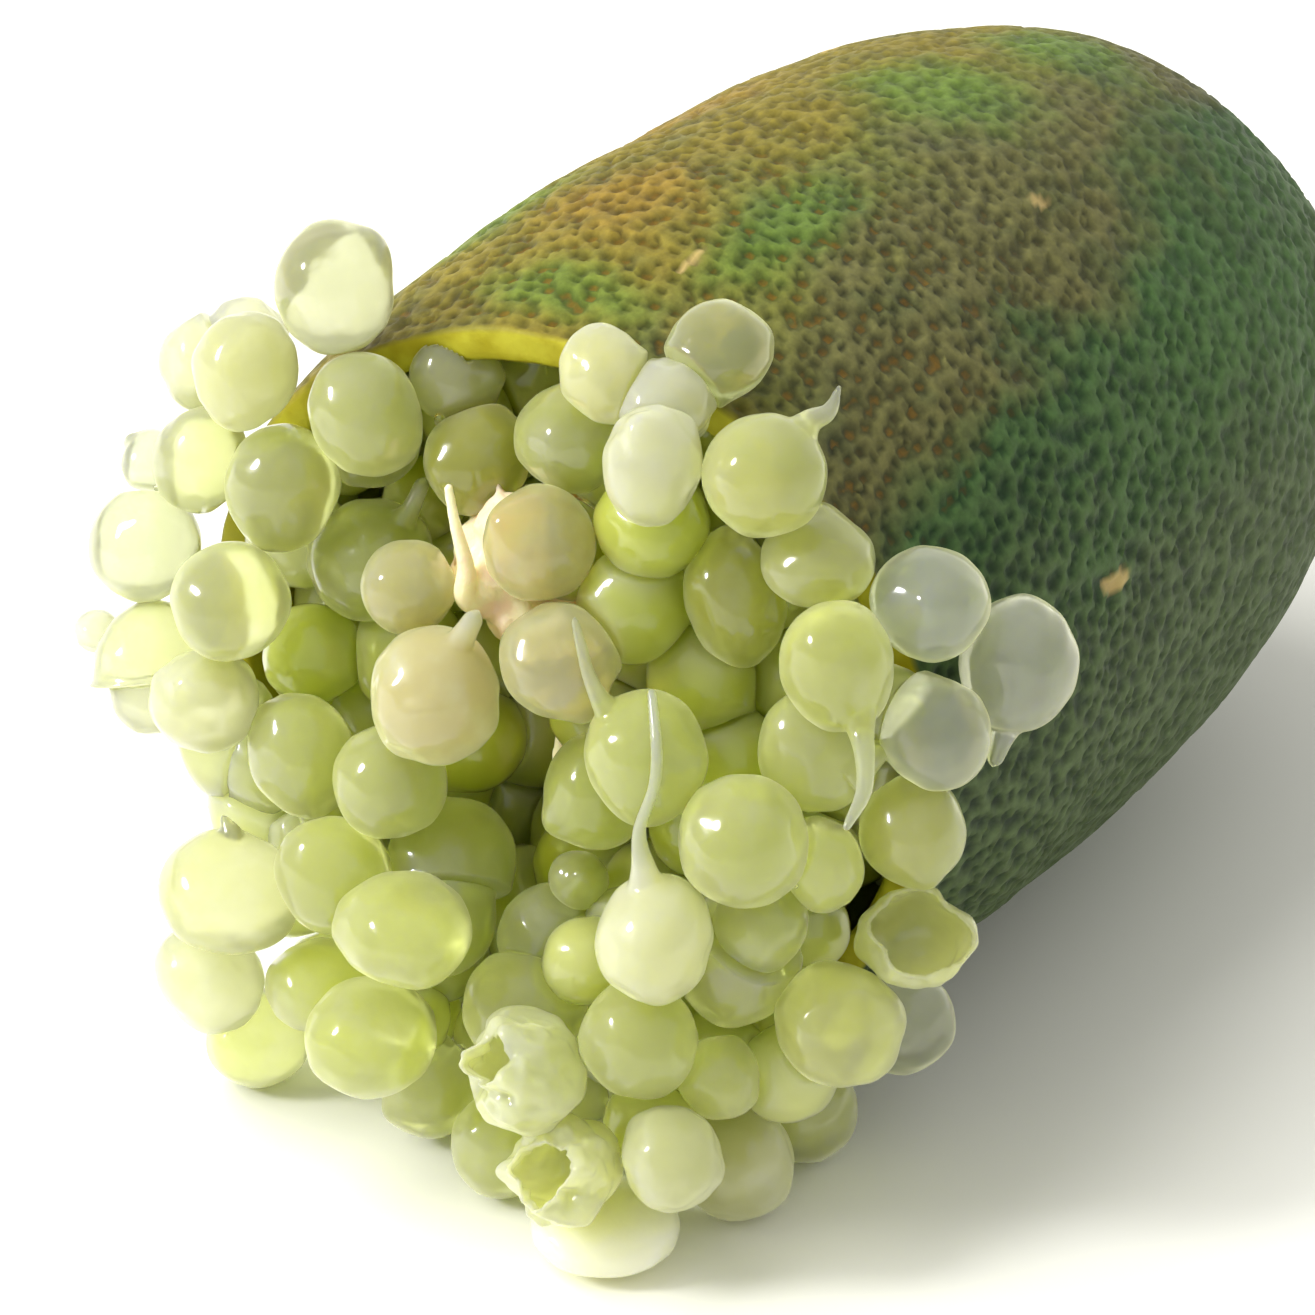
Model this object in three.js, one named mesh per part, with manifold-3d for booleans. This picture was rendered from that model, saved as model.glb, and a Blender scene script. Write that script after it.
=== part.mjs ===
// Half of a finger lime, cut across and lying on its side with the cut end open.
//
// Millimetres. +X points out of the cut along the fruit's axis, +Y is to the right
// of someone who faces the cut, and +Z is up. The pieces are made with the middle
// of the cut as origin; the last lines move them all so that the origin lies on the
// surface below the middle of the whole object.

import * as THREE from "three";
import { mergeVertices } from "three/addons/utils/BufferGeometryUtils.js";
import Module from "manifold-3d";

const wasm = await Module();
wasm.setup();

// Rind
const fruitLength = 37.5; // from the cut to the closed end
const rindRadius = 13.65; // outside, where the fruit is widest
const widestAt = 11; // how far behind the cut that is
const cutRadius = 12.4; // outside, at the cut
const rindWall = 1.1;
const endFullness = 2.7; // power of the superellipse that rounds the closed end
const cutYaw = 8; // degrees; the cut's right side lies further back
const restDepth = 0.25; // what the flat spot takes off the underside
const scarRadius = 1.7; // the low round scar on the closed end
const scarHeight = 0.6;
const scarShoulder = 0.6; // share of the scar's radius that is flat
const scarEdge = 0.3; // share of the scar's height that is rounded off

// Core
const coreHead = { right: -1.2, up: 4.4, radius: 1.9 };
const coreFoot = { right: 0.7, up: -4, radius: 0.6 };
const coreProud = 2.5; // how far it stands out of the cut
const coreDepth = 27; // how far it runs back into the fruit

// Pulp: the packed vesicles behind the loose ones
const heapCentre = { out: 0, right: 0.2, up: -1.5 };
const heapBulge = 4; // half sizes of the mass that swells out of the cut
const heapHalfWidth = 12.4;
const heapReach = 0.5; // how far its rounded foot would pass the surface if it weren't flat there
const heapHalfHeight = rindRadius - restDepth + heapCentre.up + heapReach;
const heapLean = 0.45; // how much further out it comes for each millimetre lower
const leanStartsAt = 2; // height above the axis where the lean begins
const plugProud = 1; // how far the packed face stands out of the cut
const hollow = { out: 4, right: -1, up: -1.5, depth: 7, halfWidth: 1.7, halfHeight: 2.7 };

// Fits
const seatGap = 0.3; // between any two neighbours
const vesicleSwell = 1; // scales every loose vesicle

// Loose vesicles, chosen by eye for a cut of this radius
const laidOutRadius = 12.4;

// [out of the cut, right, up, width, height]
const bulgingVesicles = {
  top_vesicle: [
    [2, -7.5, 12, 3.4, 3.8],
    [1.5, -12.5, 8.5, 2.6, 2.8],
    [3.5, -8.5, 10, 3, 3.4],
    [1.5, -5.5, 9.5, 3.2, 3.2],
    [1, -2.5, 8, 3, 3],
    [1, 1, 10, 3, 3.1],
    [1.5, 2.5, 12.5, 2.4, 2.6],
    [3, 5.5, 11, 2.6, 3.4],
    [1.5, 8.5, 10.5, 3.5, 3.4],
  ],
  left_vesicle: [
    [4, -8, 7, 3.2, 3.8],
    [3.5, -11.5, 6, 2.6, 3.1],
    [4.5, -12.5, 3.5, 3.2, 3.4],
    [6, -8, 4, 3.4, 3.4],
    [5.5, -12, 0.5, 3, 3],
    [7, -8.5, 0.5, 3.2, 2.9],
    [6, -5.5, -1, 3, 3.6],
    [2, -6, 4, 3.6, 3.5],
  ],
  middle_vesicle: [
    [3, 1.5, 7.5, 3.1, 3.3],
    [4.5, -2.5, 5, 2.7, 2.7],
    [4.5, 3, 4.5, 3.3, 3.3],
    [6, -0.5, 3, 3.7, 3.9],
    [6, -2.5, -1, 3.3, 3.3],
    [4, 4, 0, 3, 3.3],
    [5, 6.5, 2.5, 3.4, 3.7],
    [4.5, -1.5, -4, 3.7, 3.4],
  ],
  right_vesicle: [
    [1.5, 4.5, 8, 3.2, 3],
    [1, 7, 6.5, 2.7, 3.3],
    [0, 9.5, 8, 3.2, 2.6],
    [2, 11, 6, 3.1, 3.5],
    [2, 10.5, 3, 3.2, 3.5],
    [5, 10, 1, 3.6, 3.8],
    [6.5, 8.5, -2.5, 3.2, 3.7],
    [0.5, 13, 0, 3, 3.1],
    [4.5, 9.5, -4, 3.3, 3.8],
    [3.5, 12, -5, 3.4, 3.5],
  ],
  heap_vesicle: [
    [8, -7, -5.5, 4, 3.5],
    [7, -3.5, -4, 3.2, 3.5],
    [8.5, 0, -4, 3.8, 3],
    [7, -4.5, -8.5, 3.1, 2.6],
    [8, -8, -9, 3, 3.1],
    [9, -1, -8, 3.8, 3.4],
    [6.5, 3, -7, 3.4, 3.4],
    [7, 7.5, -6, 3.3, 3.4],
    [8, 9.5, -9, 2.9, 2.9],
  ],
  torn_vesicle: [
    [9, 5, -7, 3.2, 2.4],
    [9.5, 6.5, -9.5, 3.3, 3],
    [1.5, 13.5, -3.5, 3, 2.8],
  ],
};

// [out of the cut, right, width, height]; they lie on the surface
const floorVesicles = [
  [6.5, -7.5, 3, 3],
  [7, 2.5, 3, 3.3],
  [3.5, 9, 3.4, 3.4],
  [0.5, 9, 3.3, 3.4],
  [8, 7, 4.2, 2],
];

// [out of the cut, degrees up from the right, width, height]; they lie on the rind
const clearVesicles = [
  [-1, 69, 2.9, 2.6],
  [-1, 29, 3.3, 3.2],
  [-3, 17, 3.4, 3.9],
  [0, 14, 3, 3.2],
  [-2, -38, 3, 3.2],
];

// Mesh fineness
const roundSegments = 44;
const endSteps = 14;
const sideSteps = 5;
const coreSteps = 6;
const heapFineness = 9;
const hollowFineness = 3;
const vesicleFineness = 1;
const settlePasses = 400;

const floorLevel = -(rindRadius - restDepth);
const yawSlope = Math.tan(THREE.MathUtils.degToRad(cutYaw));

const material = (color, roughness) =>
  new THREE.MeshStandardMaterial({ color, roughness, metalness: 0 });
const finishes = {
  rind: material(0x5f6e3c, 0.55),
  core: material(0xddcd91, 0.7),
  pulp: material(0xa9ad55, 0.3),
  vesicle: material(0xcbcf86, 0.15),
  clearVesicle: material(0xb4bd9c, 0.1),
};

// The rind's outside radius at a distance behind the cut, for a fruit that is
// smaller by inset all over.
function radiusBehindCut(behind, inset = 0) {
  const widest = rindRadius - inset;
  if (behind <= widestAt) {
    const towardsCut = (widestAt - behind) / widestAt;
    return widest - (rindRadius - cutRadius) * towardsCut ** 2;
  }
  const along = Math.min((behind - widestAt) / (fruitLength - inset - widestAt), 1);
  return widest * (1 - along ** endFullness) ** (1 / endFullness);
}

// Profile points from the closed end to the cut, x as the radius, y along the axis.
function fruitProfile(inset) {
  const points = [];
  for (let step = 0; step < endSteps; step += 1) {
    const angle = (step / endSteps) * (Math.PI / 2);
    const along = Math.cos(angle) ** (2 / endFullness);
    const behind = widestAt + along * (fruitLength - inset - widestAt);
    points.push(new THREE.Vector2(radiusBehindCut(behind, inset), -behind));
  }
  points[0].x = 0;
  for (let step = 0; step <= sideSteps; step += 1) {
    const behind = widestAt * (1 - step / sideSteps);
    points.push(new THREE.Vector2(radiusBehindCut(behind, inset), -behind));
  }
  return points;
}

// The round scar that closes the far end of the outer profile.
function addScar(profile) {
  const end = -fruitLength - scarHeight;
  const rim = new THREE.Vector2(scarRadius, end + scarHeight * scarEdge);
  const shoulder = new THREE.Vector2(scarRadius * scarShoulder, end);
  return [new THREE.Vector2(0, end), shoulder, rim, ...profile.slice(1)];
}

// Turns a profile round the X axis.
function turned(profile) {
  const geometry = new THREE.LatheGeometry(profile, roundSegments);
  return geometry.rotateZ(-Math.PI / 2);
}

// Moves every vertex of a geometry with a function that changes the vector it gets.
function reshape(geometry, move) {
  const position = geometry.getAttribute("position");
  const point = new THREE.Vector3();
  for (let index = 0; index < position.count; index += 1) {
    point.fromBufferAttribute(position, index);
    move(point);
    position.setXYZ(index, point.x, point.y, point.z);
  }
  geometry.computeVertexNormals();
  return geometry;
}

// Turns the cut about the vertical; the turn fades out towards the widest place.
function yawTheCut(point) {
  const fade = THREE.MathUtils.clamp(1 + point.x / widestAt, 0, 1);
  point.x -= point.y * yawSlope * fade;
}

function toManifold(geometry) {
  const bare = geometry.clone();
  bare.deleteAttribute("normal");
  bare.deleteAttribute("uv");
  const merged = mergeVertices(bare, 1e-4);
  const vertProperties = merged.getAttribute("position").array;
  const triVerts = new Uint32Array(merged.getIndex().array);
  return new wasm.Manifold(new wasm.Mesh({ numProp: 3, vertProperties, triVerts }));
}

function toGeometry(solid) {
  const mesh = solid.getMesh();
  const geometry = new THREE.BufferGeometry();
  geometry.setAttribute("position", new THREE.BufferAttribute(mesh.vertProperties, 3));
  geometry.setIndex(new THREE.BufferAttribute(mesh.triVerts, 1));
  geometry.computeVertexNormals();
  return geometry;
}

function makeRind() {
  const outside = addScar(fruitProfile(0));
  const inside = fruitProfile(rindWall).reverse();
  const geometry = turned([...outside, ...inside]);
  return reshape(geometry, (point) => {
    point.z = Math.max(point.z, floorLevel);
    yawTheCut(point);
  });
}

// A bar whose outline is two circles of different size joined by straight flanks.
function makeBar(swell, from, to) {
  const across = coreFoot.right - coreHead.right;
  const down = coreFoot.up - coreHead.up;
  const heading = Math.atan2(down, across);
  const opening = Math.acos((coreHead.radius - coreFoot.radius) / Math.hypot(across, down));
  const outline = new THREE.Shape();
  const first = heading + opening;
  const last = heading - opening;
  const fullTurn = 2 * Math.PI;
  outline.absarc(coreHead.right, coreHead.up, coreHead.radius + swell, first, last + fullTurn);
  outline.absarc(coreFoot.right, coreFoot.up, coreFoot.radius + swell, last, first);
  outline.closePath();
  const options = { depth: to - from, bevelEnabled: false, curveSegments: coreSteps };
  const geometry = new THREE.ExtrudeGeometry(outline, options);
  const alongX = new THREE.Matrix4().makeBasis(
    new THREE.Vector3(0, 1, 0),
    new THREE.Vector3(0, 0, 1),
    new THREE.Vector3(1, 0, 0),
  );
  return geometry.applyMatrix4(alongX).translate(from, 0, 0);
}

function makeEllipsoid(halfSizes, centre, fineness) {
  const geometry = new THREE.IcosahedronGeometry(1, fineness);
  geometry.scale(halfSizes.x, halfSizes.y, halfSizes.z);
  return geometry.translate(centre.x, centre.y, centre.z);
}

// The part of the pulp that fills the rind, with its face a little out of the cut.
function makePlug() {
  const profile = fruitProfile(rindWall + seatGap);
  const faceRadius = profile[profile.length - 1].x;
  profile.push(new THREE.Vector2(faceRadius, plugProud));
  profile.push(new THREE.Vector2(0, plugProud));
  return reshape(turned(profile), yawTheCut);
}

// The part of the pulp that swells out of the cut and slumps to the surface.
function makeHeap() {
  const halfSizes = new THREE.Vector3(heapBulge, heapHalfWidth, heapHalfHeight);
  const centre = new THREE.Vector3(heapCentre.out, heapCentre.right, heapCentre.up);
  return reshape(makeEllipsoid(halfSizes, centre, heapFineness), (point) => {
    point.z = Math.max(point.z, floorLevel + seatGap);
    const lean = heapLean * Math.max(leanStartsAt - point.z, 0);
    const backFace = seatGap - point.y * yawSlope;
    point.x = point.x > 0 ? Math.max(point.x + lean, backFace) : backFace;
  });
}

function makeHollow() {
  const halfSizes = new THREE.Vector3(hollow.depth, hollow.halfWidth, hollow.halfHeight);
  const centre = new THREE.Vector3(hollow.out, hollow.right, hollow.up);
  return makeEllipsoid(halfSizes, centre, hollowFineness);
}

// Every loose vesicle as a centre and half sizes, before they settle.
function layOutVesicles() {
  const spread = cutRadius / laidOutRadius;
  const sacs = [];
  const add = (name, clear, place, width, height) => {
    const half = new THREE.Vector3(width, width, height).multiplyScalar(vesicleSwell / 2);
    sacs.push({ name, clear, half, place });
  };
  for (const [cluster, rows] of Object.entries(bulgingVesicles)) {
    rows.forEach(([out, right, up, width, height], index) => {
      const place = new THREE.Vector3(out, right * spread, up * spread);
      add(`${cluster}_${index + 1}`, false, place, width, height);
    });
  }
  floorVesicles.forEach(([out, right, width, height], index) => {
    const up = floorLevel + (height / 2) * vesicleSwell;
    const place = new THREE.Vector3(out, right * spread, up);
    add(`floor_vesicle_${index + 1}`, false, place, width, height);
  });
  clearVesicles.forEach(([out, clock, width, height], index) => {
    const angle = THREE.MathUtils.degToRad(clock);
    const lift = (Math.max(width, height) / 2) * vesicleSwell + seatGap;
    const radius = radiusBehindCut(Math.max(-out, 0)) + lift;
    const place = new THREE.Vector3(out, radius * Math.cos(angle), radius * Math.sin(angle));
    add(`clear_vesicle_${index + 1}`, true, place, width, height);
  });
  return sacs;
}

// How far an ellipsoid reaches from its centre along a direction.
function reach(half, direction) {
  return Math.hypot(half.x * direction.x, half.y * direction.y, half.z * direction.z);
}

function pushApart(one, other) {
  const between = other.place.clone().sub(one.place);
  const distance = between.length();
  const direction = between.divideScalar(distance);
  const wanted = reach(one.half, direction) + reach(other.half, direction) + seatGap;
  const missing = wanted - distance;
  if (missing <= 0) return;
  one.place.addScaledVector(direction, -missing / 2);
  other.place.addScaledVector(direction, missing / 2);
}

// Keeps a vesicle clear of the rind's wall, from outside it or in front of its edge.
function pushOffRind(sac) {
  const beyondCut = sac.place.x + sac.place.y * yawSlope;
  const radius = Math.hypot(sac.place.y, sac.place.z);
  const outside = radiusBehindCut(Math.max(-beyondCut, 0));
  const inside = outside - rindWall;
  const past = Math.max(beyondCut, 0);
  const beside = Math.max(inside - radius, radius - outside);
  if (beyondCut < 0 && radius < inside) return; // it lies inside the fruit
  const gap = past > 0 ? Math.hypot(past, Math.max(beside, 0)) : beside;
  const wanted = Math.max(sac.half.y, sac.half.z) + seatGap;
  if (gap >= wanted) return;
  const missing = wanted - gap;
  if (past > Math.max(beside, 0)) {
    sac.place.x += missing;
  } else {
    const away = radius > inside ? missing / radius : -missing / radius;
    sac.place.y += sac.place.y * away;
    sac.place.z += sac.place.z * away;
  }
}

function liftOffFloor(sac) {
  sac.place.z = Math.max(sac.place.z, floorLevel + sac.half.z);
}

function settle(sacs) {
  for (let pass = 0; pass < settlePasses; pass += 1) {
    for (let one = 0; one < sacs.length; one += 1) {
      for (let other = one + 1; other < sacs.length; other += 1) {
        pushApart(sacs[one], sacs[other]);
      }
    }
    sacs.forEach(pushOffRind);
    sacs.forEach(liftOffFloor);
  }
}

function makeVesicle(sac, swell = 0) {
  const halfSizes = sac.half.clone().addScalar(swell);
  return makeEllipsoid(halfSizes, sac.place, vesicleFineness);
}

// Takes the seat of every loose vesicle out of a solid.
function seatVesicles(solid, sacs) {
  let seated = solid;
  for (const sac of sacs) {
    seated = seated.subtract(toManifold(makeVesicle(sac, seatGap)));
  }
  return seated;
}

// The largest of the bodies that a cut leaves.
function mainBody(solid) {
  const bodies = solid.decompose();
  return bodies.reduce((best, body) => (body.volume() > best.volume() ? body : best));
}

function makePulp(sacs) {
  const coreHole = makeBar(seatGap, -coreDepth - seatGap, coreProud + heapBulge);
  const mass = toManifold(makePlug())
    .add(toManifold(makeHeap()))
    .subtract(toManifold(makeHollow()))
    .subtract(toManifold(coreHole));
  return toGeometry(mainBody(seatVesicles(mass, sacs)));
}

function makeCore(sacs) {
  const bar = toManifold(makeBar(0, -coreDepth, coreProud));
  return toGeometry(mainBody(seatVesicles(bar, sacs)));
}

const fruit = new THREE.Group();

function addPiece(name, geometry, finish) {
  const mesh = new THREE.Mesh(geometry, finish);
  mesh.name = name;
  fruit.add(mesh);
}

const sacs = layOutVesicles();
settle(sacs);

addPiece("rind", makeRind(), finishes.rind);
addPiece("core", makeCore(sacs), finishes.core);
addPiece("pulp", makePulp(sacs), finishes.pulp);
for (const sac of sacs) {
  addPiece(sac.name, makeVesicle(sac), sac.clear ? finishes.clearVesicle : finishes.vesicle);
}

// Stands the whole object on the surface, over the origin.
const bounds = new THREE.Box3().setFromObject(fruit);
const middle = bounds.getCenter(new THREE.Vector3());
fruit.position.set(-middle.x, -middle.y, -bounds.min.z);

const group = new THREE.Group();
group.add(fruit);
export default group;
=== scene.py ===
import math

import bmesh
import bpy
import numpy as np
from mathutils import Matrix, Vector, noise
from mathutils.kdtree import KDTree


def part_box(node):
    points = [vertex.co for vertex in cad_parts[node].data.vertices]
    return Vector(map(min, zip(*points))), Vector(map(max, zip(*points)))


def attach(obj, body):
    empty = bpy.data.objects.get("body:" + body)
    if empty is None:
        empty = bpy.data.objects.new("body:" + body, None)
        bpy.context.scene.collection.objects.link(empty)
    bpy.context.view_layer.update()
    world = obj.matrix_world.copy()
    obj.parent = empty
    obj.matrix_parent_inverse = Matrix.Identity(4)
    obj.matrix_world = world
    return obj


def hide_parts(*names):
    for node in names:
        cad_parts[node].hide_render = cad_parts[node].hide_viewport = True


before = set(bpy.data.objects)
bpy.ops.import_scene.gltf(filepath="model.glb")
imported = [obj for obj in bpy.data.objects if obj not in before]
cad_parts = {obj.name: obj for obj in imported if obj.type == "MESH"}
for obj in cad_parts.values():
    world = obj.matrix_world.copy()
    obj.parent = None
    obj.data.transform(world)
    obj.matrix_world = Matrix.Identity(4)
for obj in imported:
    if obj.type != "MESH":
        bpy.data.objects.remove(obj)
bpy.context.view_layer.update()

# Half a finger lime: a pitted rind, its juice sacs, the core and torn sacs.
# Sizes in the dictionaries are millimetres, and the scene itself is in metres.
# A place is [out of the cut, right, up] from the middle of the cut.
mm = 0.001


def linear(red, green, blue):
    # screen colour, 0 to 255, as the linear colour that shaders use
    def channel(value):
        value = value / 255
        return value / 12.92 if value <= 0.04045 else ((value + 0.055) / 1.055) ** 2.4
    return (channel(red), channel(green), channel(blue), 1.0)


def smooth(low, high, value):
    # 0 below low, 1 above high, and an even curve between them
    share = np.clip((value - low) / (high - low), 0, 1)
    return share * share * (3 - 2 * share)


def blend(first, second, share):
    # from the first colour to the second
    return np.array(first) * (1 - share) + np.array(second) * share


# Where the fruit is.

rindShape = {
    "cutRadius": 12.4,
    "length": 37.5,
    "widestAt": 11,  # behind the cut
    "fullness": 2.7,  # power of the rounded closed end
    "yaw": 8,  # degrees that the cut is turned
    "wall": 1.1,
    "rimRounding": 0.16,
    "rimWander": 0.13,  # how uneven the knife left the rim
    "unevenness": 0.14,
    "scarRadius": 1.7,
    "scarHeight": 0.6,
    "around": 440,
    "along": 200,
    "inside": 16,
}
rindLow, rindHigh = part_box("rind")
rindRadius = (rindHigh.y - rindLow.y) / 2 / mm
yawSlope = math.tan(math.radians(rindShape["yaw"]))
cutCentre = Vector((
    rindHigh.x - rindShape["cutRadius"] * yawSlope * mm,
    (rindLow.y + rindHigh.y) / 2,
    rindHigh.z - rindRadius * mm,
))
tableLevel = -cutCentre.z / mm


def place(out, right, up):
    return cutCentre + Vector((out, right, up)) * mm


def toMetres(points):
    return np.asarray(points) * mm + np.array(cutCentre)


def fromMetres(points):
    return (np.asarray(points) - np.array(cutCentre)) / mm


def outerRadius(behind):
    shape = rindShape
    lost = rindRadius - shape["cutRadius"]
    front = rindRadius - lost * ((shape["widestAt"] - behind) / shape["widestAt"]) ** 2
    share = np.clip((behind - shape["widestAt"]) / (shape["length"] - shape["widestAt"]), 0, 1)
    end = rindRadius * (1 - share ** shape["fullness"]) ** (1 / shape["fullness"])
    return np.where(behind < shape["widestAt"], front, end)


def yawed(points):
    # turns the cut without turning the rest of the fruit
    turned = points.copy()
    fade = np.clip(1 + points[:, 0] / rindShape["widestAt"], 0, 1)
    turned[:, 0] -= points[:, 1] * yawSlope * fade
    return turned


def noiseField(points, scale, seed):
    offset = Vector((seed * 7.31, seed * 3.17, seed * 5.73))
    return np.array([noise.noise(Vector(point) * scale + offset) for point in points])


# Meshes.

def makeObject(name, points, faces, material, flat=False):
    mesh = bpy.data.meshes.new(name)
    mesh.from_pydata([tuple(point) for point in points], [], [tuple(face) for face in faces])
    mesh.update()
    if not flat:
        outside = bmesh.new()
        outside.from_mesh(mesh)
        bmesh.ops.recalc_face_normals(outside, faces=outside.faces)
        outside.to_mesh(mesh)
        outside.free()
        mesh.shade_smooth()
    mesh.materials.append(material)
    thing = bpy.data.objects.new(name, mesh)
    bpy.context.scene.collection.objects.link(thing)
    return thing


def addNumbers(thing, name, values):
    layer = thing.data.attributes.new(name, "FLOAT", "POINT")
    layer.data.foreach_set("value", np.asarray(values, np.float32))


def addColours(thing, name, colours):
    layer = thing.data.attributes.new(name, "FLOAT_COLOR", "POINT")
    layer.data.foreach_set("color", np.asarray(colours, np.float32).ravel())


def roundBall(level):
    # directions and triangles of an even ball
    ball = bmesh.new()
    bmesh.ops.create_icosphere(ball, subdivisions=level, radius=1)
    directions = np.array([vertex.co.normalized() for vertex in ball.verts])
    faces = np.array([[vertex.index for vertex in face.verts] for face in ball.faces])
    ball.free()
    return directions, faces


def ringFaces(rows, around):
    # the squares between neighbouring rings of points
    faces = []
    for row in range(rows - 1):
        for step in range(around):
            after = (step + 1) % around
            faces.append((row * around + step, row * around + after,
                          (row + 1) * around + after, (row + 1) * around + step))
    return faces


# Shader node groups.

def newGroup(name, inputs, outputs):
    group = bpy.data.node_groups.new(name, "ShaderNodeTree")
    for socketName, kind, value in inputs:
        socket = group.interface.new_socket(name=socketName, in_out="INPUT", socket_type=kind)
        if value is not None:
            socket.default_value = value
    for socketName, kind in outputs:
        group.interface.new_socket(name=socketName, in_out="OUTPUT", socket_type=kind)
    return group


def feed(tree, value, socket):
    # links another node's output, or sets a plain value
    if isinstance(value, bpy.types.NodeSocket):
        tree.links.new(value, socket)
    else:
        socket.default_value = value


def addNode(tree, kind, settings=None, **sockets):
    # a socket is given by its name, or by its number as i0, i1, ...
    node = tree.nodes.new(kind)
    for key, value in (settings or {}).items():
        setattr(node, key, value)
    for key, value in sockets.items():
        numbered = key[0] == "i" and key[1:].isdigit()
        feed(tree, value, node.inputs[int(key[1:])] if numbered else node.inputs[key])
    return node


def mixColours(tree, factor, first, second, how="MIX"):
    settings = {"data_type": "RGBA", "blend_type": how}
    return addNode(tree, "ShaderNodeMix", settings, i0=factor, i6=first, i7=second).outputs[2]


def calculate(tree, operation, first, second):
    return addNode(tree, "ShaderNodeMath", {"operation": operation}, i0=first, i1=second).outputs[0]


def spreadOut(tree, value, low, high, least=0.0, most=1.0):
    return addNode(tree, "ShaderNodeMapRange", i0=value, i1=low, i2=high, i3=least, i4=most).outputs[0]


def readMark(tree, name, output="Fac"):
    return addNode(tree, "ShaderNodeAttribute", {"attribute_name": name}).outputs[output]


def makeMottle():
    # soft patches: 0 outside them, 1 inside
    group = newGroup(
        "mottle",
        [("Vector", "NodeSocketVector", None), ("Scale", "NodeSocketFloat", 100.0),
         ("Detail", "NodeSocketFloat", 3.0), ("Low", "NodeSocketFloat", 0.45),
         ("High", "NodeSocketFloat", 0.6)],
        [("Mask", "NodeSocketFloat")],
    )
    ends = addNode(group, "NodeGroupInput")
    cloud = addNode(group, "ShaderNodeTexNoise", Vector=ends.outputs["Vector"],
                    Scale=ends.outputs["Scale"], Detail=ends.outputs["Detail"])
    spread = addNode(group, "ShaderNodeMapRange", {"interpolation_type": "SMOOTHSTEP"},
                     i0=cloud.outputs["Fac"], i1=ends.outputs["Low"], i2=ends.outputs["High"])
    addNode(group, "NodeGroupOutput", Mask=spread.outputs["Result"])
    return group


def makeSkinRelief():
    # fine height for wet membranes and peel: a coarse swell with a fine grain on it
    group = newGroup(
        "skinRelief",
        [("Vector", "NodeSocketVector", None), ("Swell Scale", "NodeSocketFloat", 400.0),
         ("Grain Scale", "NodeSocketFloat", 3000.0), ("Grain Share", "NodeSocketFloat", 0.3)],
        [("Height", "NodeSocketFloat")],
    )
    ends = addNode(group, "NodeGroupInput")
    swell = addNode(group, "ShaderNodeTexNoise", Vector=ends.outputs["Vector"],
                    Scale=ends.outputs["Swell Scale"], Detail=2.0)
    grain = addNode(group, "ShaderNodeTexNoise", Vector=ends.outputs["Vector"],
                    Scale=ends.outputs["Grain Scale"], Detail=3.0)
    height = addNode(group, "ShaderNodeMix", i0=ends.outputs["Grain Share"],
                     i2=swell.outputs["Fac"], i3=grain.outputs["Fac"])
    addNode(group, "NodeGroupOutput", Height=height.outputs[0])
    return group


mottle = makeMottle()
skinRelief = makeSkinRelief()


def useGroup(tree, group, **sockets):
    node = addNode(tree, "ShaderNodeGroup", {"node_tree": group})
    for key, value in sockets.items():
        feed(tree, value, node.inputs[key.replace("_", " ")])
    return node.outputs[0]


def newMaterial(name):
    material = bpy.data.materials.new(name)
    material.use_nodes = True
    tree = material.node_tree
    tree.nodes.clear()
    surface = tree.nodes.new("ShaderNodeBsdfPrincipled")
    output = tree.nodes.new("ShaderNodeOutputMaterial")
    tree.links.new(surface.outputs[0], output.inputs["Surface"])
    return material, tree, surface


def setSurface(surface, **values):
    for key, value in values.items():
        surface.inputs[key.replace("_", " ")].default_value = value


def addBump(tree, surface, height, strength, depth):
    bump = addNode(tree, "ShaderNodeBump", Height=height, Strength=strength, Distance=depth)
    tree.links.new(bump.outputs["Normal"], surface.inputs["Normal"])


# Materials.

rindFinish = {
    "shade": linear(58, 82, 44),  # the side away from the sun
    "green": linear(42, 84, 34),
    "middle": linear(90, 88, 44),
    "olive": linear(102, 104, 32),
    "gold": linear(120, 106, 20),
    "leafy": linear(76, 118, 28),
    "orange": linear(142, 108, 24),
    "mossy": linear(52, 96, 42),
    "patchShare": 0.65,
    "darkGreen": linear(24, 56, 26),
    "ridge": linear(150, 148, 104),
    "ridgeShare": 0.12,
    # darkens the glands: partly their own darker tone, partly painted shade in their dents
    "paintedPitShade": (0.36, 0.38, 0.4, 1.0),
    "rust": linear(132, 96, 22),
    "rustShare": 0.5,
    "fleck": linear(190, 165, 105),
    "pith": linear(146, 136, 12),
    "pithPale": linear(174, 168, 44),
    "roughness": 0.5,
    "pitGloss": 0.08,
    "ridgeDull": 0.06,
    "specular": 0.22,
    "driftScale": 150.0,
    "drift": 0.05,
    "blotchScale": 420.0,
    "blotchShare": 0.35,
    "warmFrom": 0.6,  # of the way to the sunny side, where pits start to turn rusty
    "warmTo": 0.7,
    "rustyFrom": 0.45,
    "rustyTo": 0.6,
    "bottomFrom": 0.75,
    "grainScale": 2600.0,
    "grainDark": 0.72,
    "grainLight": 1.2,
    "pithScale": 500.0,
}
# Where each tone of the skin lies, from 0 on the shaded side to 1 on the sunny side
rindTones = ((0.42, "shade"), (0.52, "green"), (0.61, "green"), (0.67, "middle"), (0.76, "middle"),
             (0.82, "olive"), (0.9, "gold"))


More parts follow.
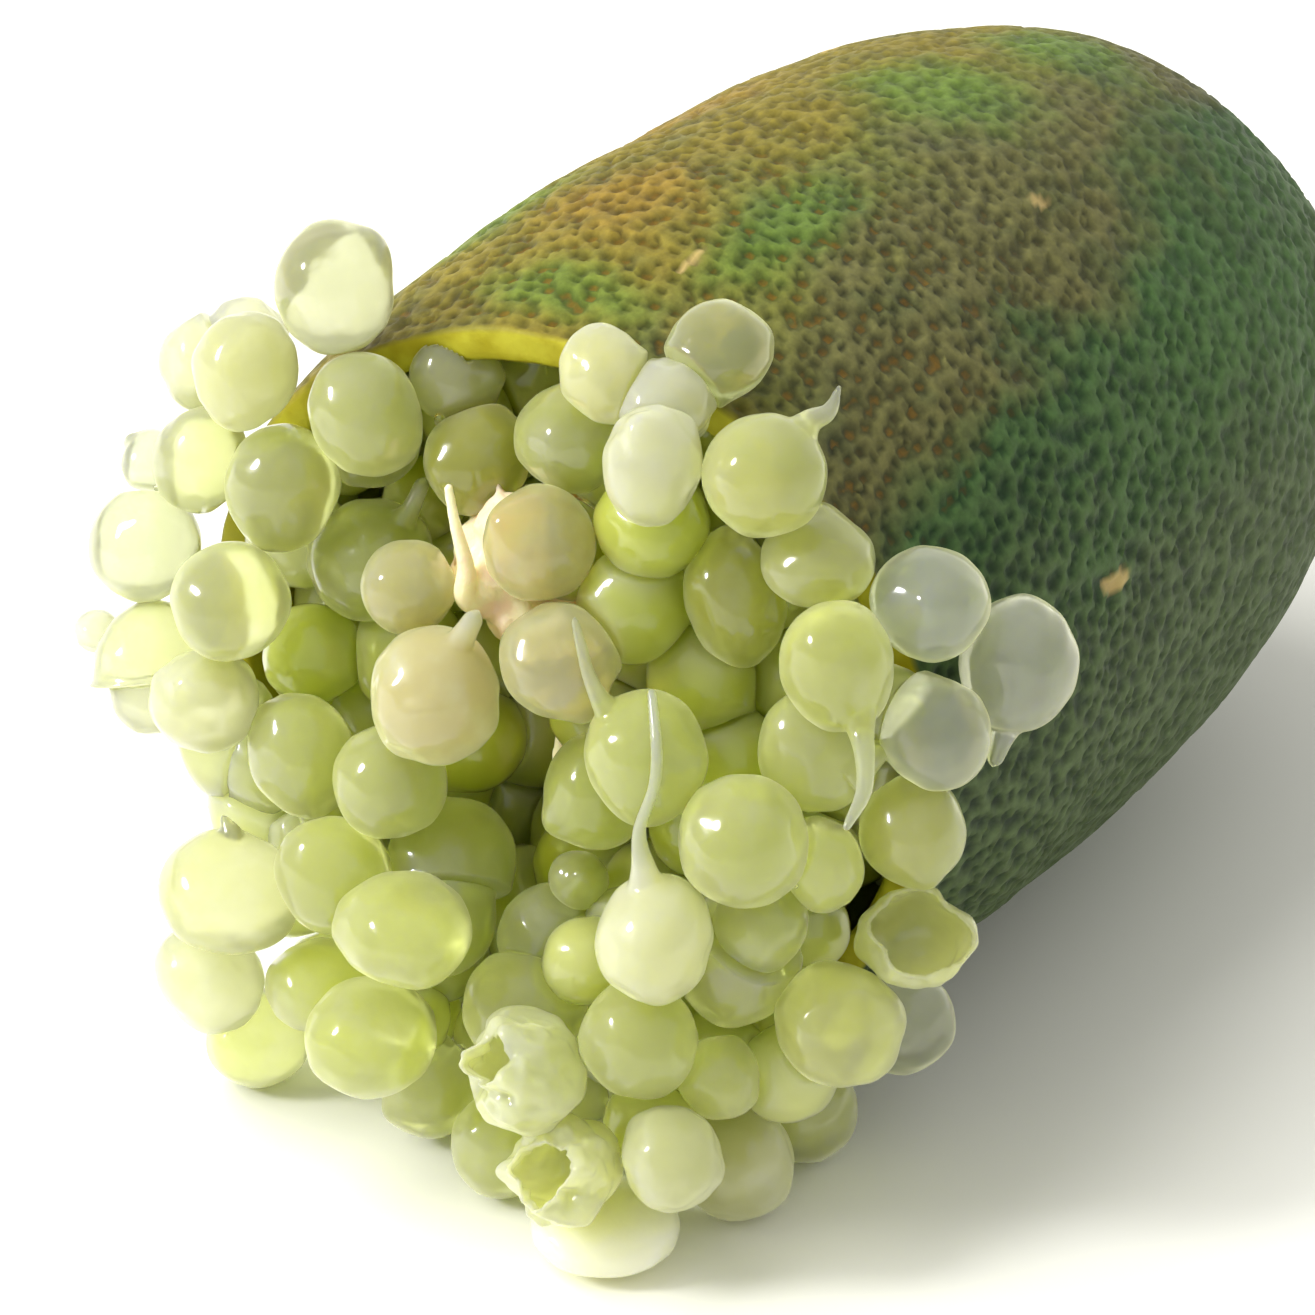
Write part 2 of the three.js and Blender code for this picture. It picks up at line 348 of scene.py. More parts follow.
def makeRindMaterial():
    look = rindFinish
    material, tree, surface = newMaterial("rindSkin")
    where = addNode(tree, "ShaderNodeTexCoord").outputs["Object"]
    pit = readMark(tree, "pit")
    sunMark = readMark(tree, "sun")
    broad = useGroup(tree, mottle, Vector=where, Scale=look["driftScale"], Detail=4.0, Low=0.3, High=0.7)
    sun = calculate(tree, "ADD", sunMark, spreadOut(tree, broad, 0.0, 1.0, -look["drift"], look["drift"]))
    ramp = addNode(tree, "ShaderNodeValToRGB", i0=sun)
    while len(ramp.color_ramp.elements) < len(rindTones):
        ramp.color_ramp.elements.new(0.5)
    for element, (position, name) in zip(ramp.color_ramp.elements, rindTones):
        element.position = position
        element.color = look[name]
    ground = ramp.outputs["Color"]
    for name in ("mossy", "orange", "leafy"):
        share = calculate(tree, "MULTIPLY", readMark(tree, name), look["patchShare"])
        ground = mixColours(tree, share, ground, look[name])
    blotch = useGroup(tree, mottle, Vector=where, Scale=look["blotchScale"], Detail=4.0, Low=0.5, High=0.68)
    share = calculate(tree, "MULTIPLY", blotch, look["blotchShare"])
    ground = mixColours(tree, share, ground, look["darkGreen"])

    # the glands are painted darker: partly their own darker tone, partly painted shade in their dents
    pitColour = mixColours(tree, 1.0, ground, look["paintedPitShade"], "MULTIPLY")
    rusty = spreadOut(tree, readMark(tree, "cell"), look["rustyFrom"], look["rustyTo"])
    warm = spreadOut(tree, sunMark, look["warmFrom"], look["warmTo"])
    bottom = spreadOut(tree, pit, look["bottomFrom"], 1.0)
    rust = calculate(tree, "MULTIPLY", calculate(tree, "MULTIPLY", rusty, warm), bottom)
    rust = calculate(tree, "MULTIPLY", rust, look["rustShare"])
    pitColour = mixColours(tree, rust, pitColour, look["rust"])
    ridgeColour = mixColours(tree, look["ridgeShare"], ground, look["ridge"])
    peel = mixColours(tree, pit, ridgeColour, pitColour)
    speckle = addNode(tree, "ShaderNodeTexNoise", Vector=where, Scale=look["grainScale"], Detail=3.0)
    grain = spreadOut(tree, speckle.outputs["Fac"], 0.3, 0.7, look["grainDark"], look["grainLight"])
    peel = mixColours(tree, 1.0, peel, grain, "MULTIPLY")
    peel = mixColours(tree, readMark(tree, "fleck"), peel, look["fleck"])
    pale = useGroup(tree, mottle, Vector=where, Scale=look["pithScale"], Detail=3.0, Low=0.35, High=0.65)
    flesh = mixColours(tree, pale, look["pith"], look["pithPale"])
    tree.links.new(mixColours(tree, readMark(tree, "skin"), flesh, peel), surface.inputs["Base Color"])
    dull = look["roughness"] + look["ridgeDull"]
    glossy = look["roughness"] - look["pitGloss"]
    tree.links.new(spreadOut(tree, pit, 0.0, 1.0, dull, glossy), surface.inputs["Roughness"])
    setSurface(surface, Specular_IOR_Level=look["specular"], Subsurface_Weight=0.12, Subsurface_Scale=0.0008,
               Subsurface_Radius=(1.0, 0.9, 0.3))
    relief = useGroup(tree, skinRelief, Vector=where, Swell_Scale=1500.0, Grain_Scale=6000.0, Grain_Share=0.4)
    addBump(tree, surface, relief, 0.5, 0.00008)
    return material


def sacLook(tint, *values):
    look = dict(zip(("clear", "rough", "milk", "sheen", "reach"), values))
    look["tint"] = linear(*tint)
    return look


# Each look of a juice sac: its tint, how clear, rough and milky it is, the strength
# of its sheen and how many millimetres light reaches into it
sacLooks = {
    "juicy": sacLook((238, 245, 150), 0.76, 0.2, 0.35, 0.5, 3.5),
    "milky": sacLook((244, 246, 200), 0.6, 0.3, 0.5, 0.6, 3.5),
    "cloudy": sacLook((250, 250, 222), 0.15, 0.3, 0.5, 0.6, 3),
    "glassy": sacLook((240, 250, 218), 0.84, 0.14, 0.3, 0.9, 3.5),
    "torn": sacLook((246, 250, 164), 0.5, 0.16, 0.3, 0.5, 1.5),
    # the deep look is darker and greener: painted shade for sacs inside the fruit
    "deep": sacLook((212, 226, 74), 0.5, 0.28, 0.0, 0.0, 5),
    "bead": sacLook((250, 252, 232), 1.0, 0.03, 0.0, 0.0, 1),
}
membrane = {
    "paleTint": linear(248, 248, 218),
    "sheenTint": linear(244, 246, 196),
    "sheenRough": 0.45,
    "ior": 1.35,
    "coat": 1.0,
    "coatRough": 0.05,
    "scatterColour": (1.0, 1.0, 0.5),
}


def makeSacMaterial(name):
    look = sacLooks[name]
    material, tree, surface = newMaterial(name + "Sac")
    where = addNode(tree, "ShaderNodeTexCoord").outputs["Object"]
    tint = readMark(tree, "tint", "Color")
    cloudy = useGroup(tree, mottle, Vector=where, Scale=520.0, Detail=3.0, Low=0.45, High=0.75)
    share = calculate(tree, "MULTIPLY", cloudy, look["milk"])
    tree.links.new(mixColours(tree, share, tint, membrane["paleTint"]), surface.inputs["Base Color"])
    setSurface(
        surface,
        Roughness=look["rough"],
        IOR=membrane["ior"],
        Transmission_Weight=look["clear"],
        Subsurface_Weight=1.0,
        Subsurface_Scale=look["reach"] * mm,
        Subsurface_Radius=membrane["scatterColour"],
        Coat_Weight=membrane["coat"],
        Coat_Roughness=membrane["coatRough"],
        Sheen_Weight=look["sheen"],
        Sheen_Roughness=membrane["sheenRough"],
        Sheen_Tint=membrane["sheenTint"],
    )
    relief = useGroup(tree, skinRelief, Vector=where, Swell_Scale=700.0, Grain_Scale=3500.0, Grain_Share=0.15)
    addBump(tree, surface, relief, 0.35, 0.00012)
    return material


coreFinish = {
    "fibre": linear(246, 234, 188),
    "pink": linear(244, 216, 184),
    "brown": linear(176, 130, 72),
    "wet": 0.3,
}


def makeCoreMaterial():
    look = coreFinish
    material, tree, surface = newMaterial("coreFibre")
    where = addNode(tree, "ShaderNodeTexCoord").outputs["Object"]
    pink = useGroup(tree, mottle, Vector=where, Scale=700.0, Detail=4.0, Low=0.4, High=0.62)
    brown = useGroup(tree, mottle, Vector=where, Scale=900.0, Detail=3.0, Low=0.66, High=0.74)
    colour = mixColours(tree, pink, look["fibre"], look["pink"])
    colour = mixColours(tree, brown, colour, look["brown"])
    tree.links.new(colour, surface.inputs["Base Color"])
    setSurface(surface, Roughness=look["wet"], Subsurface_Weight=0.5, Subsurface_Scale=0.001,
               Subsurface_Radius=(1.0, 0.7, 0.4), Coat_Weight=0.4, Coat_Roughness=0.1)
    relief = useGroup(tree, skinRelief, Vector=where,
                      Swell_Scale=1400.0, Grain_Scale=5000.0, Grain_Share=0.35)
    addBump(tree, surface, relief, 0.6, 0.0002)
    return material


materials = {name: makeSacMaterial(name) for name in sacLooks}
materials["rind"] = makeRindMaterial()
materials["core"] = makeCoreMaterial()
print("materials made")


# Rind.

hexRow = 0.866  # gap between the rows of a honeycomb, as a share of its spacing
gland = {
    "spacing": 0.7,
    "jitter": 0.2,  # share of the spacing
    "depth": 0.15,
    "smallest": 0.2,  # radius
    "largest": 0.42,
    "startsAt": 0.5,  # behind the rim
    "fade": 0.45,  # share of its tone that the far end loses
    "fadeFrom": 7,
    "fadeTo": 25,
}
# Small scars on the skin: [behind the cut, degrees up from the right, length, width]
skinFlecks = [[10.8, 14, 1.1, 0.5], [5.2, 85, 1.0, 0.25], [17, 62, 0.5, 0.4], [24, 118, 0.9, 0.4],
              [14, 200, 1.2, 0.6]]
# Blotches of another tone on the skin: [behind the cut, degrees up from the right, length, width]
skinPatches = {
    "leafy": [[20, 87, 3.2, 4], [8.5, 80, 4.5, 1.8], [2.2, 97, 1.8, 3.6], [8, 127, 3.5, 2.6], [27, 84, 3, 4],
              [12, 205, 6, 4], [24, 262, 5, 4]],
    "orange": [[7.5, 103, 2.8, 3.4], [17, 122, 4, 3.2], [2.8, 75, 1.5, 1.4], [13, 150, 4, 3],
               [26, 172, 3, 4]],
    "mossy": [[20, 38, 5, 3.2], [27, 24, 5, 6], [20, 300, 6, 5]],
}
# The side that ripened golden
sunny = {
    "angle": 112,  # degrees up from the right
    "rimWarmth": 0.08,  # browner near the cut
    "fade": 0.003,  # for each millimetre behind the cut
}


def rindProfile():
    # behind and radius at even steps from the cut to the closed end
    shape = rindShape
    front = np.linspace(0, shape["widestAt"], 200)
    turn = np.linspace(0, math.pi / 2, 1200)[1:]
    power = 2 / shape["fullness"]
    back = shape["widestAt"] + (shape["length"] - shape["widestAt"]) * np.sin(turn) ** power
    radius = rindRadius * np.cos(turn) ** power
    behind = np.concatenate([front, back])
    radius = np.concatenate([outerRadius(front), radius])
    radius[-1] = 0
    # the stalk's scar stands a little proud of the closed end
    scar = 1 - smooth(0.7, 1.0, radius / shape["scarRadius"])
    onEnd = behind > shape["length"] - 3
    behind = behind + shape["scarHeight"] * scar * onEnd
    steps = np.hypot(np.diff(behind), np.diff(radius))
    travelled = np.concatenate([[0], np.cumsum(steps)])
    return behind, radius, travelled


def ring(behind, radius, angles):
    # points round the fruit's middle line
    back = np.full(len(angles), -behind)
    return np.stack([back, radius * np.cos(angles), radius * np.sin(angles)], 1)


def glandCentres(behind, radius, travelled):
    chance = np.random.default_rng(11)
    centres = []
    rowGap = gland["spacing"] * hexRow
    for row in range(int(travelled[-1] / rowGap)):
        along = (row + 0.6) * rowGap
        rowRadius = np.interp(along, travelled, radius)
        count = max(1, round(2 * math.pi * rowRadius / gland["spacing"]))
        turn = (np.arange(count) + 0.5 * (row % 2)) / count * 2 * math.pi
        turn = turn + chance.normal(0, gland["jitter"], count) * 2 * math.pi / count
        drift = along + chance.normal(0, gland["jitter"], count) * rowGap
        out = np.interp(drift, travelled, radius)
        centres.append(ring(np.interp(drift, travelled, behind), out, turn))
    return yawed(np.concatenate(centres))


def rindRows(behind, radius, travelled):
    # rings from deep inside, over the rim and back to the closed end: [behind, radius, share of skin]
    shape = rindShape
    wall = shape["wall"]
    rows = []
    innerSpan = (shape["length"] - wall) / shape["length"]
    for step in range(shape["inside"]):
        deep = math.cos(step / shape["inside"] * math.pi / 2)
        along = deep * travelled[-1] * 0.995
        here = np.interp(along, travelled, behind) * innerSpan + 0.35
        rows.append([here, max(np.interp(along, travelled, radius) - wall, 0.05), 0])
    rimRound = shape["rimRounding"]
    rows.append([rimRound, shape["cutRadius"] - wall, 0])
    for share in (0.12, 0.3, 0.5, 0.7, 0.84):
        rows.append([0.03 * math.cos(share * math.pi) ** 2, shape["cutRadius"] - wall * (1 - share), 0])
    rows.append([0.25 * rimRound, shape["cutRadius"] - 0.35 * rimRound, 0.6])
    spread = np.linspace(0, 1, shape["along"])
    for along in (0.78 * spread + 0.22 * spread ** 2) * (travelled[-1] - rimRound) + rimRound:
        rows.append([np.interp(along, travelled, behind), np.interp(along, travelled, radius), 1])
    rows[-1][1] = 0.02
    return np.array(rows)


def gridNormals(points, rows):
    grid = points.reshape(rows, -1, 3)
    aroundStep = np.roll(grid, -1, 1) - np.roll(grid, 1, 1)
    normals = np.cross(aroundStep, np.gradient(grid, axis=0)).reshape(-1, 3)
    normals /= np.linalg.norm(normals, axis=1, keepdims=True) + 1e-9
    return normals * np.sign(np.sum(normals * (points * [0, 1, 1]), axis=1).mean())


def glandMarks(points, onSkin, centres):
    # how deep in a gland each point lies, 0 to 1, and a number of that gland's own
    tree = KDTree(len(centres))
    for index, centre in enumerate(centres):
        tree.insert(centre, index)
    tree.balance()
    tone = np.random.default_rng(5).random(len(centres))
    pit = np.zeros(len(points))
    cell = np.zeros(len(points))
    for index in np.nonzero(onSkin)[0]:
        _, nearest, near = tree.find(points[index])
        cell[index] = tone[nearest]
        pit[index] = near / (gland["smallest"] + (gland["largest"] - gland["smallest"]) * tone[nearest])
    return 1 - smooth(0.3, 1.1, pit), cell


def turnFrom(degrees, middle):
    return (degrees - middle + 180) % 360 - 180


def skinMarks(points, onScar):
    # how sunny, flecked and blotched each point of the skin is
    behind = -points[:, 0]
    degrees = np.degrees(np.arctan2(points[:, 2], points[:, 1])) % 360
    fleck = np.zeros(len(points))
    for fleckBehind, fleckAngle, length, width in skinFlecks:
        across = np.radians(turnFrom(degrees, fleckAngle)) * rindRadius / width
        slant = (behind - fleckBehind) / length + 0.5 * across * width / length
        fleck = np.maximum(fleck, 1 - smooth(0.25, 0.6, slant ** 2 + across ** 2))
    fibrous = 0.45 + 0.25 * noiseField(points, 1.6, 31) + 0.15 * noiseField(points, 5, 32)
    fleck = np.maximum(fleck * 0.8, np.clip(fibrous, 0.1, 0.8) * onScar)
    sun = 1 - np.abs(turnFrom(degrees, sunny["angle"])) / 180 - sunny["fade"] * (behind - 8)
    halfway = smooth(0.52, 0.6, sun) * (1 - smooth(0.75, 0.85, sun))
    sun += sunny["rimWarmth"] * (1 - smooth(2, 13, behind)) * halfway
    marks = {"sun": sun, "fleck": fleck}
    ragged = 0.16 * noiseField(points, 0.9, 21) + 0.12 * noiseField(points, 2.4, 22)
    for name, patches in skinPatches.items():
        mark = np.zeros(len(points))
        for patchBehind, patchAngle, length, width in patches:
            across = np.radians(turnFrom(degrees, patchAngle)) * rindRadius / width
            mark = np.maximum(mark, np.exp(-((behind - patchBehind) / length) ** 2 - across ** 2))
        marks[name] = smooth(0.15, 0.95, mark + ragged) * smooth(0.05, 0.25, mark)
    return marks


def makeRind():
    shape = rindShape
    around = shape["around"]
    profile = rindProfile()
    angles = np.linspace(0, 2 * math.pi, around, endpoint=False)
    rows = rindRows(*profile)
    count = len(rows)
    points = yawed(np.concatenate([ring(row[0], row[1], angles) for row in rows]))
    skin = np.repeat(rows[:, 2], around)
    normals = gridNormals(points, count)

    pit, cell = glandMarks(points, skin > 0.9, glandCentres(*profile))
    behindRim = -points[:, 0] - points[:, 1] * yawSlope
    pit *= smooth(0, gland["startsAt"], behindRim) * (skin > 0.9)
    atEnd = points[:, 0] < -shape["length"] + 0.1
    onScar = atEnd & (np.hypot(points[:, 1], points[:, 2]) < shape["scarRadius"])
    pit[onScar] = 0

    swell = noiseField(points, 0.16, 3) * shape["unevenness"] * 1.6
    swell += noiseField(points, 0.5, 4) * shape["unevenness"] * 0.5
    depth = gland["depth"] * (0.75 + 0.5 * cell) * (1 - 0.5 * gland["fade"] * smooth(10, 25, behindRim))
    points += normals * ((swell * skin) - depth * pit)[:, None]
    pit *= 1 - gland["fade"] * smooth(gland["fadeFrom"], gland["fadeTo"], behindRim)
    rimNear = np.exp(-np.maximum(behindRim, 0) / 1.5)
    wander = noiseField(points * [0, 1, 1], 0.3, 9) + 0.4 * noiseField(points * [0, 1, 1], 1.3, 10)
    points[:, 0] += wander * shape["rimWander"] * rimNear

    world = toMetres(points)
    world[:, 2] = np.maximum(world[:, 2], 0)
    faces = ringFaces(count, around)
    faces.append(tuple(range(around))[::-1])
    faces.append(tuple((count - 1) * around + step for step in range(around)))
    rind = makeObject("rindPeel", world, faces, materials["rind"])
    marks = {"pit": pit, "cell": cell, "skin": skin, **skinMarks(points, onScar)}
    for name, mark in marks.items():
        addNumbers(rind, name, mark)
    closed = bmesh.new()
    closed.from_mesh(rind.data)
    bmesh.ops.triangulate(closed, faces=[face for face in closed.faces if len(face.verts) > 4])
    bmesh.ops.recalc_face_normals(closed, faces=closed.faces)
    closed.to_mesh(rind.data)
    closed.free()
    rind.data.shade_smooth()
    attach(rind, "root")
    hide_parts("rind")
    print("rind:", len(rind.data.polygons), "faces")


makeRind()


# Juice sacs.

sacShape = {
    "swell": 1.085,  # closes the gaps between the frame's sacs
    "lumps": 0.04,
    "stretch": 0.025,  # how far one axis differs from another
    "nip": 0.3,  # largest height of the blunt point at one end
    "squeeze": 0.13,  # softness of the flat where two sacs press together
    "clearance": 0.006,
    "flare": 0.26,  # how far the foot of that flat spreads
    "flareReach": 0.3,
    "paleReach": 0.45,
    "level": 5,
    "packedLevel": 4,
}
# Sacs that differ from the plain juicy ones: their look, and the screen colour of each
sacNotes = {
    "glassy": {
        "top_vesicle_1": (216, 218, 178),
        "left_vesicle_3": (216, 222, 184),
        "clear_vesicle_1": (202, 210, 160),
        "clear_vesicle_2": (244, 252, 222),
        "clear_vesicle_3": (236, 238, 218),
        "clear_vesicle_4": (226, 230, 210),
        "clear_vesicle_5": (222, 226, 180),
    },
    "milky": {
        "top_vesicle_2": (222, 224, 160),
        "top_vesicle_3": (224, 224, 158),
        "top_vesicle_7": (228, 228, 168),
        "top_vesicle_8": (238, 238, 200),
        "left_vesicle_6": (226, 226, 170),
        "middle_vesicle_4": (228, 216, 160),
        "right_vesicle_7": (240, 240, 196),
        "heap_vesicle_5": (226, 228, 172),
        "heap_vesicle_9": (226, 228, 170),
        "floor_vesicle_3": (224, 224, 166),
    },
    "juicy": {
        "top_vesicle_5": (204, 206, 80),
        "left_vesicle_8": (208, 218, 104),
        "middle_vesicle_1": (228, 220, 152),
        "middle_vesicle_2": (238, 228, 176),
        "middle_vesicle_3": (236, 226, 168),
        "right_vesicle_2": (210, 214, 96),
        "heap_vesicle_1": (224, 226, 150),
    },
    "cloudy": {
        "floor_vesicle_5": (250, 252, 204),
    },
}
# Smaller and half-hidden sacs: [out, right, up, width, height, look]
smallSacs = [
    [5, -14.5, 0, 1.4, 1.4, "milky"],
    [3, -13.5, 5.5, 1.9, 2.1, "glassy"],
    [0.5, -11.5, 9.5, 2.2, 2.2, "milky"],
    [6, -11.5, -1, 2.4, 2.2, "milky"],
    [3, -7.5, 0.5, 3.2, 3.2, "juicy"],
    [0, 11.5, 3.5, 2.5, 2.5, "juicy"],
    [4.5, 2.5, -5.5, 3, 3, "juicy"],
    [4, 3.3, -3.4, 1.8, 1.8, "juicy"],
    [5.5, 9.5, -7.5, 2.4, 2.4, "juicy"],
    [5.5, -0.5, -5.5, 2.8, 3.6, "juicy"],
    [0, -4, 10, 2.6, 2.8, "juicy"],
    [1, -6.5, 7.5, 3, 3, "juicy"],
    [1, 4.5, 12, 2.6, 2.4, "milky"],
    [4, 10, -2.5, 2.7, 2.7, "juicy"],
    [3, 11.5, -0.5, 2.4, 3, "juicy"],
    [6, -1, -11.6, 3, 3, "juicy"],
    [2, 4, 5.5, 3.3, 3.3, "juicy"],
    [5, -5.5, -3.5, 1.8, 1.8, "juicy"],
]
# Sacs toward the key lamp's side are painted paler, as painted light; the ones inside the fruit are painted
# darker and greener, as painted shade and the colour of light passing through the juice.
paintedLampSide = {
    # the way towards the key lamp's side, along which the painted light grows
    "toward": np.array([0.56, -0.82, 0.1]),
    "from": 4,
    "to": 14,
    "share": 0.5,
    "tint": linear(240, 242, 204),
}
paintedInsideShade = {
    "from": 6.5,  # out of the cut, where it starts
    "to": 1.5,
    "within": 8,  # of the fruit's middle line
    "without": 11.5,
    "share": 0.7,
    "tint": linear(196, 210, 76),
    "deepFrom": 0.55,  # share from which the sac gets the deep look
}
contact = {"paleness": 0.4, "tint": linear(246, 250, 200)}
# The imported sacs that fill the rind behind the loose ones.
packing = {"gap": 3.05, "layer": 0.816, "jitter": 0.3, "size": 3.35, "smallest": 2.2, "deepest": 9}


def insideShare(centre):
    # 1 for a sac deep in the fruit, 0 for one that hangs out of it
    reach = math.hypot(centre[1], centre[2])
    sunk = 1 - float(smooth(paintedInsideShade["to"], paintedInsideShade["from"], centre[0]))
    return sunk * (1 - float(smooth(paintedInsideShade["within"], paintedInsideShade["without"], reach)))


def settledLook(look, tint, centre):
    # sacs well inside the fruit take the darker deep look: painted shade
    if look == "juicy" and tint is None and insideShare(centre) > paintedInsideShade["deepFrom"]:
        return "deep"
    return look


def cadSacs():
    sacs = []
    for name in sorted(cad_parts):
        if "_vesicle_" not in name:
            continue
        low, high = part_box(name)
        look, tint = "juicy", None
        for noted, colours in sacNotes.items():
            if name in colours:
                look, tint = noted, linear(*colours[name])
        half = (np.array(high) - np.array(low)) / 2 / mm * sacShape["swell"]
        centre = fromMetres([(low + high) / 2])[0]
        if name.startswith("clear"):
            reach = math.hypot(centre[1], centre[2])
            centre[1:] *= (reach - 0.35) / reach
        settled = "torn" if name.startswith("torn") else settledLook(look, tint, centre)
        sacs.append({"name": name, "node": name, "look": settled, "tint": tint,
                     "centre": centre, "half": half})
    return sacs


def extraSacs():
    sacs = []
    for index, (out, right, up, width, height, look) in enumerate(smallSacs):
        centre = np.array([out, right, up], float)
        half = np.array([width, width, height]) / 2
        sacs.append({"name": f"small_vesicle_{index + 1}", "node": None, "tint": None,
                     "look": settledLook(look, None, centre), "centre": centre, "half": half})
    return sacs


def insidePulp():
    # a test for points in millimetres: a ray from inside the pulp leaves it an odd number of times
    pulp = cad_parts["pulp"]
    ray = Vector((0.31, 0.17, 0.94)).normalized()

    def test(point):
        start = place(*point)
        crossings = 0
        while crossings < 50:
            found, spot, _, _ = pulp.ray_cast(start, ray)
            if not found:
                break
            crossings += 1
            start = spot + ray * 1e-6
        return crossings % 2 == 1
    return test


def packedSacs(others):
    test = insidePulp()
    chance = np.random.default_rng(21)
    gap = packing["gap"]
    sacs = []
    rows = np.arange(-8, 9)
    for layer in rows:
        for column in rows:
            for depth in range(-6, 8):
                spot = np.array([depth * gap * packing["layer"] - 1.2,
                                 (column + 0.5 * (layer % 2) + 0.5 * (depth % 2)) * gap,
                                 (layer + 0.33 * (depth % 2)) * gap * hexRow])
                spot += chance.normal(0, packing["jitter"], 3)
                turned = spot[0] + spot[1] * yawSlope
                if turned < -packing["deepest"] or not test(spot):
                    continue
                room = packing["size"] / 2
                for other in others:
                    away = np.linalg.norm(spot - other["centre"])
                    room = min(room, away - other["half"].mean() + 0.25)
                if turned < 0.5:
                    wallAt = float(outerRadius(np.array(max(-turned, 0.0)))) - rindShape["wall"]
                    room = min(room, wallAt - math.hypot(spot[1], spot[2]) + 0.2)
                room = min(room, (place(*spot).z / mm) + 0.1)
                if room * 2 < packing["smallest"]:
                    continue
                half = np.array([room, room, room]) * (1 + chance.normal(0, 0.05, 3))
                sacs.append({"name": f"packed_{len(sacs)}", "node": "pulp", "look": "deep", "tint": None,
                             "centre": spot, "half": half})
    return sacs


def pressed(points, centre, normal, limit, softness, flare=0.0, pale=None):
    # holds points within limit of centre along normal, with a soft shoulder,
    # and spreads the foot of the flat
    away = points - centre
    along = away @ normal
    start = limit - softness
    over = along > start
    eased = start + softness * (1 - np.exp(-(along[over] - start) / softness))
    points[over] += (eased - along[over])[:, None] * normal
    if flare:
        across = away - along[:, None] * normal
        width = np.linalg.norm(across, axis=1, keepdims=True)
        gap = np.maximum(limit - np.minimum(along, limit), 0)
        foot = np.exp(-gap / sacShape["flareReach"])
        points += across / np.maximum(width, 0.2) * (flare * foot * smooth(0, 0.8, width[:, 0]))[:, None]
        pale[:] = np.maximum(pale, np.exp(-gap / sacShape["paleReach"]))
    return points


def meeting(first, second):
    # the way to the second sac, how far off it is, the first one's reach that way,
    # how much the two overlap and where the flat between them lies
    between = second["centre"] - first["centre"]
    away = np.linalg.norm(between)
    normal = between / away
    mine = np.linalg.norm(first["half"] * normal)
    theirs = np.linalg.norm(second["half"] * normal)
    shared = mine + theirs - away
    return normal, away, mine, shared, mine - shared * mine / (mine + theirs)


def sacPoints(sac, directions, seed):
    # a lumpy ball with a blunt tip, pressed flat against its neighbours, the table and the rind
    half = sac["half"]
    lumpiness = sacShape["lumps"] * (1.6 if sac["look"] in ("milky", "torn") else 1)
    waves = noiseField(directions, 1.1, seed) * 1.6 + noiseField(directions, 2.6, seed + 50) * 0.7
    chance = np.random.default_rng(seed + 900)
    stretch = sacShape["stretch"]
    lumps = 1 + lumpiness * waves
    lumps = lumps * (1 + stretch * (directions @ chance.normal(0, 1, 3)) ** 2 - stretch)
    tip = chance.normal(0, 1, 3)
    tip /= np.linalg.norm(tip)
    near = np.arccos(np.clip(directions @ tip, -1, 1))
    nip = chance.uniform(0, sacShape["nip"]) * np.exp(-(near / 0.35) ** 2) / half.mean()
    points = sac["centre"] + directions * half * (lumps + nip)[:, None]
    pale = np.zeros(len(points))
    for other in everySac:
        if other is sac:
            continue
        normal, away, mine, shared, reach = meeting(sac, other)
        if away > half.max() + other["half"].max() or away < 0.2 or shared <= 0:
            continue
        limit = reach - sacShape["clearance"]
        softness = min(sacShape["squeeze"] * mine, limit * 0.5)
        flare = sacShape["flare"] * min(shared / 0.15, 1)
        points = pressed(points, sac["centre"], normal, limit, softness, flare, pale)
    if sac["centre"][2] - half[2] < tableLevel + 0.1:
        down = np.array([0, 0, -1.0])
        points = pressed(points, sac["centre"], down, sac["centre"][2] - tableLevel - 0.01, 0.2)
    sac["pale"] = pale
    return againstRind(points, sac["name"].startswith("clear"))


def againstRind(points, outside):
    # sacs stay inside the wall, or rest on the skin
    turned = -(points[:, 0] + points[:, 1] * yawSlope)
    reach = np.hypot(points[:, 1], points[:, 2])
    wall = outerRadius(np.clip(turned, 0, rindShape["length"]))
    if outside:
        least = wall + 0.03
        wanted = np.where(turned > 0, np.maximum(reach, least), reach)
    else:
        most = wall - rindShape["wall"] - 0.03
        inMouth = (turned > 0) & (reach < wall + 0.2)
        wanted = np.where(inMouth, np.minimum(reach, most), reach)
    points[:, 1:] *= (wanted / np.maximum(reach, 0.01))[:, None]
    return points


def sacTint(sac, chance):
    base = np.array(sac["tint"] or sacLooks[sac["look"]]["tint"])
    shade = 1 + chance.normal(0, 0.04)
    base[:3] = np.clip(base[:3] * [shade, shade, shade * (1 + chance.normal(0, 0.06))], 0, 1)
    # painted shade: deep sacs further inside the fruit are painted darker
    if sac["look"] == "deep" and not sac["tint"]:
        sunk = 0.3 + 0.7 * insideShare(sac["centre"])
        base = blend(sacLooks["juicy"]["tint"], base, sunk)
    # painted light: sacs further towards the lamp's side are painted paler
    towardLamp = sac["centre"] @ paintedLampSide["toward"]
    paintedLight = paintedLampSide["share"] * float(smooth(paintedLampSide["from"], paintedLampSide["to"], towardLamp))
    base = blend(base, paintedLampSide["tint"], paintedLight)
    # painted shade and the colour of light through the juice: sacs inside the fruit are painted greener and
    # darker
    if sac["look"] in ("juicy", "deep") and sac["node"] != "pulp" and not sac["tint"]:
        inner = paintedInsideShade["share"] * insideShare(sac["centre"])
        base = blend(base, paintedInsideShade["tint"], inner)
    return base


def sacColours(sac, tint):
    # paler at the feet where it touches its neighbours
    return blend(tint, contact["tint"], (contact["paleness"] * sac["pale"])[:, None])


